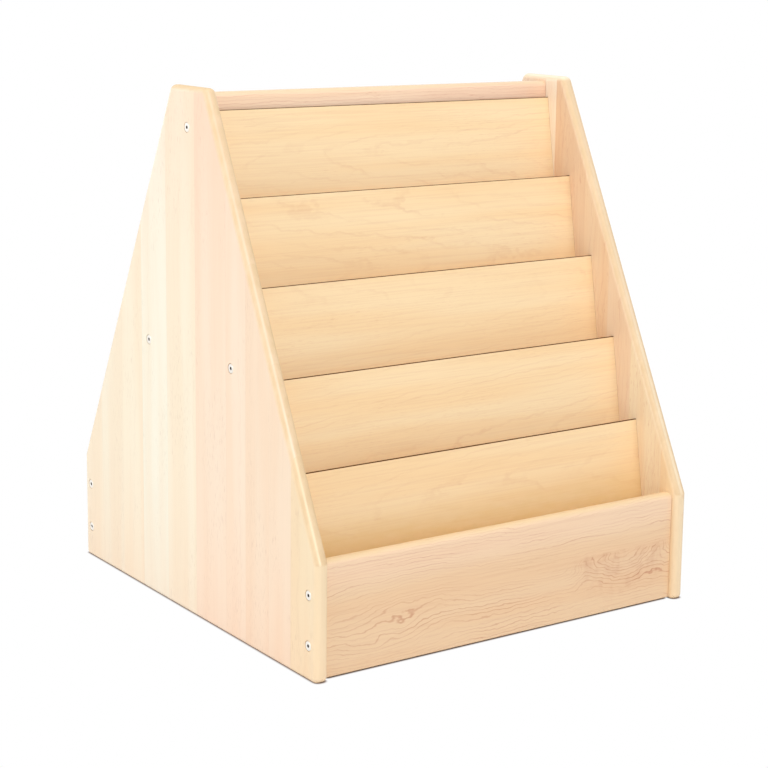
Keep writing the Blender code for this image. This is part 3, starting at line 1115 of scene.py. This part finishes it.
@dataclass
class SidePanels:
    """The two edge-glued side panels, rounded over on every edge, less so along the floor."""

    frame: Frame
    top_depth: float = 0.092
    roundover: float = 0.008
    top_corner: float = 0.002
    kink_corner: float = 0.003
    foot_corner: float = 0.002
    floor_rounding: float = 0.004
    roundover_steps: int = 14
    corner_steps: int = 10
    edge_full: float = 1 / 6  # share of the roundover past which the edge's tone is full
    top_reach: Span = (0.125, 0.75)  # shares of the roundover where the top's cap tone is full and where it ends
    highlight_from_face: Span = (0.0058, 0.0095)  # painted highlight's line, from the outer face, left and right
    highlight_width: float = 0.0016
    highlight_fade: float = 0.35  # how much of it is left at the upper end

    LAY = GrainLay(UP, BACK, RIGHT)

    def outlines(self, insets: Array, lifts: Array) -> Array:
        """The outline drawn in by several insets, except along the floor, where it is lifted.

        The upright edges and the top move in by the inset, and the kink slides along so that the sloping
        edge moves in as far.

        Args:
            insets: how far each outline is drawn in.
            lifts: each outline's height above the floor.

        Returns:
            (outlines, points, 2) places as (front to back, up).
        """
        low, high = self.frame.box("side_panel_left")
        foot_height = self.frame.foot_height
        slope = math.atan2((high[1] - low[1] - self.top_depth) / 2, high[2] - foot_height)
        edge = high[1] - insets
        top = self.top_depth / 2 - insets * math.tan((math.pi / 2 - slope) / 2)
        half = np.stack([
            np.stack([edge, lifts], axis=1),
            np.stack([edge, foot_height - insets * math.tan(slope / 2)], axis=1),
            np.stack([top, high[2] - insets], axis=1),
        ], axis=1)
        corners = np.concatenate([half, half[:, ::-1] * (-1.0, 1.0)], axis=1)
        left = self.roundover - insets
        foot = self.foot_corner + self.floor_rounding - lifts
        arcs = np.stack([foot, self.kink_corner + left, self.top_corner + left], axis=1)
        return rounded_outlines(corners, np.concatenate([arcs, arcs[:, ::-1]], axis=1), self.corner_steps)

    def surface(self, hand: Hand) -> Surface:
        """One panel before its grooves are cut: outlines lofted from its outer face to its inner one.

        Over the rounded edge the depth below a face is the radius times one less the cosine of the turn, and
        the inset is the radius times one less its sine. The lift off the floor follows a smaller circle.

        Args:
            hand: the end of the display.

        Returns:
            The closed surface.
        """
        turns = np.linspace(0.0, np.pi / 2, self.roundover_steps + 1)
        depth = self.roundover * (1 - np.cos(turns))
        inset = self.roundover * (1 - np.sin(turns))
        short = np.clip(self.floor_rounding - depth, 0.0, None)
        lift = self.floor_rounding - np.sqrt(self.floor_rounding**2 - short**2)
        depths = np.concatenate([depth, self.frame.side_thickness - depth[::-1]])
        outlines = self.outlines(np.concatenate([inset, inset[::-1]]), np.concatenate([lift, lift[::-1]]))
        points = np.empty((*outlines.shape[:2], 3))
        points[..., 0] = (hand.value * (self.frame.width / 2 - depths))[:, None]
        points[..., 1:] = outlines
        return Surface.grid(points)

    def from_face(self, points: Array) -> Array:
        """Each point's depth below its panel's outer face."""
        return self.frame.width / 2 - np.abs(points[:, 0])

    def sloping(self, points: Array) -> Array:
        """1 above the kink, fading to 0 over its rounding."""
        return np.clip((points[:, 2] - self.frame.foot_height) / self.kink_corner + 1, 0.0, 1.0)

    def painted_highlight(self, points: Array) -> Array:
        """1 on a painted highlight along a sloping edge, falling off as a bell beside it and fading upwards.

        Args:
            points: (points, 3) places.

        Returns:
            The mask of each point.
        """
        middle = np.where(points[:, 0] < 0, *self.highlight_from_face)
        foot_height, top = self.frame.foot_height, self.frame.height
        fade = np.interp(points[:, 2], [(foot_height + top) / 2, top], [1.0, self.highlight_fade])
        return fade * np.exp(-((self.from_face(points) - middle) / self.highlight_width) ** 2)

    def edges(self, points: Array) -> Array:
        """1 on the sloping edges and 0 on the faces, the upright edges and the painted highlight line.

        Args:
            points: (points, 3) places.

        Returns:
            The mask of each point.
        """
        depth = self.from_face(points)
        near = np.minimum(depth, self.frame.side_thickness - depth) / self.roundover
        toned = np.clip(near / self.edge_full, 0.0, 1.0) * self.sloping(points)
        return toned * (1 - self.painted_highlight(points))

    def top_and_highlight(self, points: Array) -> Array:
        """1 along the top edge, fading to 0 over its rounding, and along the right panel's highlight line.

        Args:
            points: (points, 3) places.

        Returns:
            The mask of each point.
        """
        # the right panel's cap tone is a painted highlight on its top and its highlight line; the left's is
        # end grain
        below = (self.frame.height - points[:, 2]) / self.roundover
        topmost = np.interp(below, self.top_reach, (1.0, 0.0))
        line = self.painted_highlight(points) * self.sloping(points) * (points[:, 0] > 0)
        return np.maximum(topmost, line)

    def build(self, shop: Workshop, finishes: Mapping[Hand, MapleFinish], screws: Screws,
              flights: "Flights") -> None:
        """Make both panels, with the display panels' grooves and the screws' holes.

        Args:
            shop: makes the pieces.
            finishes: the maple of each end.
            screws: gives the holes.
            flights: gives the grooves.
        """
        for hand, finish in finishes.items():
            cutter = Surface.joined([*screws.holes(hand), *flights.grooves(hand)])
            shop.make(f"side_panel_{hand.name.lower()}", self.surface(hand), finish.material(shop.effects),
                      finish.slot, self.LAY, cutter, {ARRIS: self.edges, CAP: self.top_and_highlight})


@dataclass
class Boards:
    """The top rail and the lip boards: upright boards with a rounded top."""

    frame: Frame
    roundover: float = 0.008
    lower_ease: float = 0.0015
    steps: int = 8
    edge_reach: Span = (0.2, 0.7)  # shares of the roundover where the edge's tone is full and where it ends

    CUT_STEP = (4.0, 0.0, 0.7)  # from one board to the next in their wood
    HELD = {"top_rail": ("rail",), "lip_board_front": ("lip_front_upper", "lip_front_lower"),
            "lip_board_back": ("lip_back_upper", "lip_back_lower")}

    def surface(self, node: str) -> Surface:
        """A board's section carried across the width.

        Args:
            node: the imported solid's name.

        Returns:
            The closed surface.
        """
        low, high = self.frame.box(node)
        corners = [np.array(corner) for corner in
                   ((high[1], low[2]), (high[1], high[2]), (low[1], high[2]), (low[1], low[2]))]
        radii = (self.lower_ease, self.roundover, self.roundover, self.lower_ease)
        return Surface.carried(rounded_section(corners, radii, self.steps), (low[0], high[0]), 1.0)

    def rounded(self, node: str) -> Mask:
        """Gives 1 on a board's top edge, where its edge tone is painted light, fading to 0 over its rounding.
        """
        top = self.frame.box(node)[1, 2]
        return lambda points: np.interp((top - points[:, 2]) / self.roundover, self.edge_reach, (1.0, 0.0))

    def build(self, shop: Workshop, finishes: Mapping[str, MapleFinish], screws: Screws) -> None:
        """Make the boards, each drilled for its screws.

        Args:
            shop: makes the pieces.
            finishes: the maple of each board, by node.
            screws: gives the holes.
        """
        for number, (node, finish) in enumerate(finishes.items()):
            lay = GrainLay(RIGHT, UP, BACK, self.CUT_STEP, number)
            cutter = Surface.joined([hole for held in self.HELD[node] for hole in screws.through(held)])
            shop.make(node, self.surface(node), finish.material(shop.effects), finish.slot, lay, cutter,
                      {ARRIS: self.rounded(node)})


@dataclass
class Flights:
    """The leaning display panels of both sides and the ledges under them."""

    frame: Frame
    tiers: int = 5
    top_ease: float = 0.001
    bottom_ease: float = 0.00025
    panel_steps: int = 6
    face_rows: int = 14  # rows of points down a panel's shown face
    ledge_ease: float = 0.0008
    ledge_steps: int = 3
    screwed_ledge: int = 2
    pocket_shade_from: float = 0.055  # down the lowest panel, where its painted shade begins
    pocket_shade_reach: float = 0.05

    CUT_STEP = (1.7, 0.43, 0.9)  # from one tier to the next in their wood

    def corners(self, node: str, grown: float = 0.0) -> list[Array]:
        """A leaning section's corners: top shown, top hidden, bottom hidden, bottom shown.

        Args:
            node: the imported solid's name.
            grown: how far the section is grown all round.

        Returns:
            The four corners as (out, up).
        """
        low, high = self.frame.leaning_box(node) + np.array([[-grown], [grown]])
        order = ((high[0], low[1]), (low[0], low[1]), (low[0], high[1]), (high[0], high[1]))
        return [outward * OUTWARD + down * DOWN for outward, down in order]

    def across(self, node: str, section: Array, face: Face,
               values: Mapping[str, Array] | None = None) -> Surface:
        """A section carried from one end of a node to the other."""
        low, high = self.frame.box(node)
        return Surface.carried(section, (low[0], high[0]), face.value, values)

    def grooves(self, hand: Hand) -> list[Surface]:
        """The stopped grooves that the panels' ends sit in.

        Args:
            hand: the end of the display.

        Returns:
            One closed body for each panel.
        """
        end = self.frame.box("display_panel_front_1")[1, 0] + FIT_GAP
        mouth = self.frame.width / 2 - 2 * self.frame.side_thickness  # well clear of the inner face
        stations = sorted((hand.value * mouth, hand.value * end))
        return [
            Surface.carried(np.array(self.corners(self.panel(face, tier), FIT_GAP)), stations, face.value)
            for face in Face for tier in range(1, self.tiers + 1)
        ]

    def panel(self, face: Face, tier: int) -> str:
        """A display panel's node."""
        return f"display_panel_{face.name.lower()}_{tier}"

    def ledge(self, face: Face, tier: int) -> str:
        """A ledge's node."""
        return f"ledge_{face.name.lower()}_{tier}"

    def lay(self, face: Face, number: int) -> GrainLay:
        """Grain along the width of a board that leans.

        Args:
            face: the side that it stands on.
            number: how many steps it was cut from the first.

        Returns:
            The board's lay.
        """
        across = (0.0, face.value * DOWN[0], DOWN[1])
        through = (0.0, face.value * OUTWARD[0], OUTWARD[1])
        return GrainLay(RIGHT, across, through, self.CUT_STEP, number)

    def panel_surface(self, face: Face, tier: int) -> Surface:
        """A thin panel whose eased top edges show its core.

        Args:
            face: the side that it stands on.
            tier: its place from the top.

        Returns:
            The closed surface, with its core's mask.
        """
        node = self.panel(face, tier)
        eases = (self.top_ease, self.top_ease, self.bottom_ease, self.bottom_ease)
        section = rounded_section(self.corners(node), eases, self.panel_steps)
        rows = np.linspace(section[-1], section[0], self.face_rows + 2)[1:-1]
        section = np.concatenate([section, rows])
        core = np.zeros(len(section))
        core[1:2 * self.panel_steps + 1] = 1.0  # the two top arcs without their ends on the faces
        return self.across(node, section, face, {CAP: core})

    def tone_and_shade(self, node: str) -> Mask:
        """Gives 0 at a panel's top and 1 low down, where its edge tone is painted shade in the pocket."""
        start = self.frame.box(node)[1, 2] - self.pocket_shade_from
        return lambda points: np.clip((start - points[:, 2]) / self.pocket_shade_reach, 0.0, 1.0)

    def ledge_surface(self, face: Face, tier: int) -> Surface:
        """A ledge; the lowest one is bevelled to stand against the upright lip board.

        Args:
            face: the side that it stands on.
            tier: its place from the top.

        Returns:
            The closed surface.
        """
        node = self.ledge(face, tier)
        corners = self.corners(node)
        if tier == self.tiers:
            reach = self.frame.section(node)[:, 0].max()
            for shown in (0, 3):  # its corners at the top and the bottom
                corners[shown] = corners[shown] + OUTWARD * (reach - corners[shown][0]) / OUTWARD[0]
        section = rounded_section(corners, (self.ledge_ease,) * 4, self.ledge_steps)
        return self.across(node, section, face)

    def build(self, shop: Workshop, panels: MapleFinish, ledges: MapleFinish, screws: Screws) -> None:
        """Make both flights.

        Args:
            shop: makes the pieces.
            panels: the display panels' veneer.
            ledges: the ledges' maple.
            screws: gives the holes.
        """
        veneer = panels.material(shop.effects)
        sanded = ledges.material(shop.effects)
        for face in Face:
            for tier in range(1, self.tiers + 1):
                lay = self.lay(face, tier if face is Face.FRONT else self.tiers + tier)
                node = self.panel(face, tier)
                # painted shade low on the lowest panels, through their edge tone
                masks = {ARRIS: self.tone_and_shade(node)} if tier == self.tiers else {}
                shop.make(node, self.panel_surface(face, tier), veneer, panels.slot, lay, masks=masks)
                cutter = None
                if tier == self.screwed_ledge:
                    cutter = Surface.joined(screws.through(f"ledge_{face.name.lower()}"))
                ledge = self.ledge_surface(face, tier)
                shop.make(self.ledge(face, tier), ledge, sanded, ledges.slot, lay, cutter)


@dataclass
class Lamp:
    """A soft square lamp that looks at the display."""

    name: str
    place: Triple
    size: float
    power: float

    def build(self, target: Vector) -> None:
        """Hang the lamp and turn it to its target.

        Args:
            target: what it looks at.
        """
        light = bpy.data.lights.new(self.name, "AREA")
        light.shape = "SQUARE"
        light.size = self.size
        light.energy = self.power
        lamp = bpy.data.objects.new(self.name, light)
        lamp.location = self.place
        lamp.rotation_euler = (target - Vector(self.place)).to_track_quat("-Z", "Y").to_euler()
        bpy.context.scene.collection.objects.link(lamp)


@dataclass
class Studio:
    """A white room with a white floor, soft lamps and the camera."""

    lamps: tuple[Lamp, ...]
    aim: Triple = (0.0, 0.0, 0.3)  # what the lamps look at
    bright_side: Triple = (-0.83, -0.42, 0.36)  # where most of the room's light is
    bright_light: float = 0.68
    dim_light: float = 0.36
    floor_reach: float = 14.0
    floor_roughness: float = 0.9
    floor_paint: Triple = (0.76, 0.74, 0.73)
    shadow_paint: Triple = (0.34, 0.27, 0.24)  # of the floor where its shadow shows
    shadow_reach: float = 0.0025  # how far beside the display its shadow is kept
    shadow_rounding: float = 0.008  # of the shadow's outline at its corners
    camera_place: Triple = (-1.5152, -2.2099, 0.8814)
    camera_yaw: float = math.radians(34.614)  # from +Y towards +X
    camera_pitch: float = math.radians(10.557)  # down
    camera_roll: float = math.radians(0.678)
    framing: float = -0.09  # how much higher than its frame's middle the lens looks
    lens: float = 90.38
    sensor: float = 36.0

    def camera(self) -> None:
        """Set the camera at the photograph's place."""
        data = bpy.data.cameras.new("camera")
        data.lens = self.lens
        data.sensor_width = self.sensor
        data.shift_y = self.framing
        camera = bpy.data.objects.new("camera", data)
        bpy.context.scene.collection.objects.link(camera)
        flat = math.cos(self.camera_pitch)
        ahead = Vector((math.sin(self.camera_yaw) * flat, math.cos(self.camera_yaw) * flat,
                        -math.sin(self.camera_pitch)))
        level = Vector((math.cos(self.camera_yaw), -math.sin(self.camera_yaw), 0.0))
        upright = level.cross(ahead)
        right = level * math.cos(self.camera_roll) + upright * math.sin(self.camera_roll)
        over = upright * math.cos(self.camera_roll) - level * math.sin(self.camera_roll)
        turned = Matrix((right, over, -ahead)).transposed().to_4x4()
        camera.matrix_world = Matrix.Translation(self.camera_place) @ turned
        bpy.context.scene.camera = camera

    def seen(self, bench: Bench) -> Socket:
        """1 for what the camera sees, straight, mirrored or through glass, and 0 for light on the display.

        Args:
            bench: the tree of the floor or the room.

        Returns:
            The share.
        """
        path = bench.put("ShaderNodeLightPath").outputs
        seen = bench.math("MAXIMUM", path["Is Camera Ray"], path["Is Glossy Ray"])
        return bench.math("MAXIMUM", seen, path["Is Transmission Ray"])

    def room(self) -> None:
        """White where it is seen; where it lights the display, brighter from the left than from the right."""
        world = bpy.data.worlds.new("room")
        bench = Bench.cleared(world)
        towards = bench.put("ShaderNodeTexCoord").outputs["Generated"]
        facing = bench.vector_math("DOT_PRODUCT", towards, self.bright_side)
        share = bench.scaled(facing, 0.5, 0.5)  # 1 on the bright side, 0 opposite
        light = bench.between(share, self.dim_light, self.bright_light)
        strength = bench.between(self.seen(bench), light, 1.0)
        glow = bench.put("ShaderNodeBackground", {"Color": WHITE, "Strength": strength})
        bench.put("ShaderNodeOutputWorld", {"Surface": glow.outputs[0]})
        bpy.context.scene.world = world

    def beside(self, bench: Bench, feet: Sequence[Triple]) -> Socket:
        """How far a place on the floor lies from what the display covers, drawn in by the shadow's rounding.

        Args:
            bench: the floor's tree.
            feet: each block and its mirror image: the middle, half the width and half the depth.

        Returns:
            The distance from the nearest block.
        """
        folded = bench.vector_math("ABSOLUTE", bench.put("ShaderNodeTexCoord").outputs["Object"])
        gaps = []
        for middle, half_width, half_depth in feet:
            moved = bench.vector_math("ABSOLUTE", bench.vector_math("SUBTRACT", folded, (middle, 0.0, 0.0)))
            core = (half_width - self.shadow_rounding, half_depth - self.shadow_rounding, 0.0)
            spread = bench.vector_math("MAXIMUM", bench.vector_math("SUBTRACT", moved, core), (0.0, 0.0, 0.0))
            gaps.append(bench.vector_math("LENGTH", spread))
        return reduce(lambda nearest, gap: bench.math("MINIMUM", nearest, gap), gaps)

    def floor(self, feet: Sequence[Triple]) -> None:
        """A pale floor that keeps the shadow under the display and close beside it, and is white further out.

        Args:
            feet: each block that the display covers on the floor, and its mirror image.
        """
        material = bpy.data.materials.new("white_floor")
        bench = Bench.cleared(material)
        white = bench.rise(self.beside(bench, feet), self.shadow_rounding - self.shadow_reach,
                           self.shadow_rounding + self.shadow_reach)
        pale, dark = (
            bench.put("ShaderNodeBsdfPrincipled", {
                "Base Color": (*paint, 1.0), "Roughness": self.floor_roughness, "Specular IOR Level": 0.0,
            }).outputs[0]
            for paint in (self.floor_paint, self.shadow_paint)
        )
        glow = bench.put("ShaderNodeEmission", {"Color": WHITE, "Strength": 1.0})
        shown = bench.put("ShaderNodeMixShader", {0: white, 1: dark, 2: glow.outputs[0]})
        mixed = bench.put("ShaderNodeMixShader", {0: self.seen(bench), 1: pale, 2: shown.outputs[0]})
        bench.put("ShaderNodeOutputMaterial", {"Surface": mixed.outputs[0]})
        mesh = bpy.data.meshes.new("floor")
        reach = self.floor_reach
        corners = [(-reach, -reach, 0.0), (reach, -reach, 0.0), (reach, reach, 0.0), (-reach, reach, 0.0)]
        mesh.from_pydata(corners, [], [(0, 1, 2, 3)])
        mesh.materials.append(material)
        floor = bpy.data.objects.new("floor", mesh)
        bpy.context.scene.collection.objects.link(floor)
        floor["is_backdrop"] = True

    def build(self, feet: Sequence[Triple]) -> None:
        """Set up the room, the floor, the lamps and the camera.

        Args:
            feet: each block that the display covers on the floor, and its mirror image.
        """
        self.room()
        self.floor(feet)
        for lamp in self.lamps:
            lamp.build(Vector(self.aim))
        self.camera()
        bpy.context.scene.view_settings.view_transform = "Standard"


PALE = screen(251, 245, 225)
CREAM = screen(251, 239, 214)
IVORY = screen(252, 239, 213)
PINK = screen(251, 229, 204)
ROSE = screen(249, 226, 199)
BLOSSOM = screen(243, 219, 188)
OAT = screen(247, 229, 197)
BUFF = screen(243, 218, 189)
BLUSHED = screen(251, 235, 211)
FAWN = screen(242, 214, 185)
TAN = screen(243, 216, 183)
UMBER = screen(238, 207, 174)
STRAW = screen(247, 226, 189)
BARK = screen(168, 120, 84)
RUSSET = screen(200, 132, 112)
WARM_BLUSH = screen(253, 243, 234)
HONEY = screen(252, 239, 223)
EDGE = screen(225, 195, 152)
END_GRAIN = screen(233, 205, 164)
RIGHT_TOP_HIGHLIGHT = screen(252, 238, 212)
SIDE_SHADE_TINT = screen(255, 246, 243)
RAIL_SHADE_TINT = screen(251, 243, 243)

LEFT_STAVES = (
    Stave(0.058, STRAW), Stave(0.052, ROSE), Stave(0.058, ROSE), Stave(0.049, PINK), Stave(0.081, PINK),
    Stave(0.079, CREAM), Stave(0.073, PALE), Stave(0.063, IVORY), Stave(0.064, CREAM), Stave(0.061, IVORY),
)
# darker than the left staves: painted shade on the right panel, over the staves' own differing tones
SHADED_RIGHT_STAVES = (
    Stave(0.034, STRAW), Stave(0.070, OAT), Stave(0.051, BUFF), Stave(0.057, TAN), Stave(0.072, UMBER),
    Stave(0.023, BLUSHED), Stave(0.088, FAWN), Stave(0.074, BLOSSOM), Stave(0.083, FAWN),
    Stave(0.086, BLOSSOM),
)

SIDE_FINISH = {
    Hand.LEFT: MapleFinish(
        "side_maple_left", "side_maple", LEFT_STAVES, WARM_BLUSH, BARK, spacing=0.016, wander=3.0,
        line_depth=0.05, fibre_depth=0.02, fleck_depth=0.22, blush_depth=0.5,
        # painted shade: darker towards the top and the bottom
        deep=SIDE_SHADE_TINT, painted_shade_from=0.3, painted_shade_reach=(0.08, 0.42),
        edge=EDGE, edge_depth=1.0, cap=END_GRAIN, cap_mottle=0.05,
    ),
    Hand.RIGHT: MapleFinish(
        "side_maple_right", "side_maple", SHADED_RIGHT_STAVES, WARM_BLUSH, RUSSET, spacing=0.009, wander=4.0,
        line_depth=0.22, fibre_depth=0.07, fleck_depth=0.35, blush_depth=0.8,
        # its cap is a painted highlight on the top edge and on the highlight line
        edge=EDGE, edge_depth=1.0, cap=RIGHT_TOP_HIGHLIGHT, cap_mottle=0.05,
    ),
}
BOARD_FINISH = {
    "lip_board_front": MapleFinish(
        "lip_maple_front", "board_maple", screen(239, 207, 168), WARM_BLUSH, RUSSET, spacing=0.0048,
        # its edge tone is painted light on the board's top edge
        wander=5.0, sap=screen(245, 214, 181), sap_reach=(0.095, 0.135), edge=screen(235, 206, 160),
        eye=(0.2, 0.088, 0.0), eye_depth=1.0, wild=(-0.19, 0.06, 0.0), wild_depth=1.0,
        line_depth=0.6, fibre_depth=0.1, fleck_depth=0.08,
    ),
    "top_rail": MapleFinish(
        "rail_maple", "board_maple", screen(249, 219, 188), WARM_BLUSH, RUSSET, spacing=0.0045, wander=3.5,
        # painted shade: darker towards the right end
        deep=RAIL_SHADE_TINT, painted_shade_from=3.4, painted_shade_reach=(0.5, 0.9), line_depth=0.4,
    ),
    "lip_board_back": MapleFinish(
        "lip_maple_back", "board_maple", screen(242, 210, 172), WARM_BLUSH, RUSSET, spacing=0.005, wander=5.0,
        eye=(8.1, 0.09, 0.0), eye_depth=0.7, wild=(8.25, 0.05, 0.0), wild_depth=1.0,
        line_depth=0.5, fleck_depth=0.1,
    ),
}
PANEL_FINISH = MapleFinish(
    "panel_maple", "panel_maple", screen(250, 223, 180), HONEY, RUSSET, spacing=0.0065, heart=0.8, wander=2.6,
    # edge tone: painted shade low on the lowest panels
    line_depth=0.14, fibre_depth=0.1, fleck_depth=0.1, edge=screen(237, 203, 143), edge_depth=0.9,
    cap=screen(98, 56, 18), cap_mottle=0.3, lacquer=Lacquer(shine=0.15, coat=0.15),
)
LEDGE_FINISH = MapleFinish(
    "ledge_maple", "ledge_maple", screen(230, 184, 112), WARM_BLUSH, BARK,
    lacquer=Lacquer(roughness=0.52, shine=0.2, coat=0.04),
)
ZINC_FINISH = ZincFinish(
    "bright_zinc", "bright_zinc", base=screen(255, 251, 244), shade=screen(245, 238, 228),
    socket_oxide_and_shade=screen(48, 34, 26),
)

LAMPS = (
    Lamp("left_lamp", (-3.0, -0.3, 1.3), 1.5, 25.0),
    Lamp("top_lamp", (-0.3, -0.9, 2.9), 2.4, 28.0),
    Lamp("front_lamp", (0.15, -3.0, 1.7), 2.0, 26.0),
    Lamp("right_lamp", (3.0, 1.2, 1.4), 1.8, 9.0),
    Lamp("back_lamp", (-0.6, 3.2, 1.5), 2.4, 22.0),
)


def main() -> None:
    """Load the frame, dress every node, set up the studio and measure the bounds before and after."""
    logging.basicConfig(level=logging.INFO, format="%(name)s %(message)s")
    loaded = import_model()
    cad_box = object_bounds()
    frame = Frame(loaded["nodes"])
    shop = Workshop(Effects(MapleFigure().tree, EdgeToneAndShade().tree))
    screws = Screws(frame)
    flights = Flights(frame)
    SidePanels(frame).build(shop, SIDE_FINISH, screws, flights)
    Boards(frame).build(shop, BOARD_FINISH, screws)
    flights.build(shop, PANEL_FINISH, LEDGE_FINISH, screws)
    screws.build(shop, ZINC_FINISH)
    lip_face = -float(frame.box("lip_board_front")[0, 1])
    side_edge = float(frame.box("side_panel_left")[1, 1])
    half_side = frame.side_thickness / 2
    inner = frame.width / 2 - frame.side_thickness
    Studio(LAMPS).build(((0.0, inner, lip_face), (inner + half_side, half_side, side_edge)))
    boxes = {"cad": cad_box, "visual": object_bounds()}
    {name: [list(corner) for corner in box] for name, box in boxes.items()}


if __name__ == "__main__":
    main()
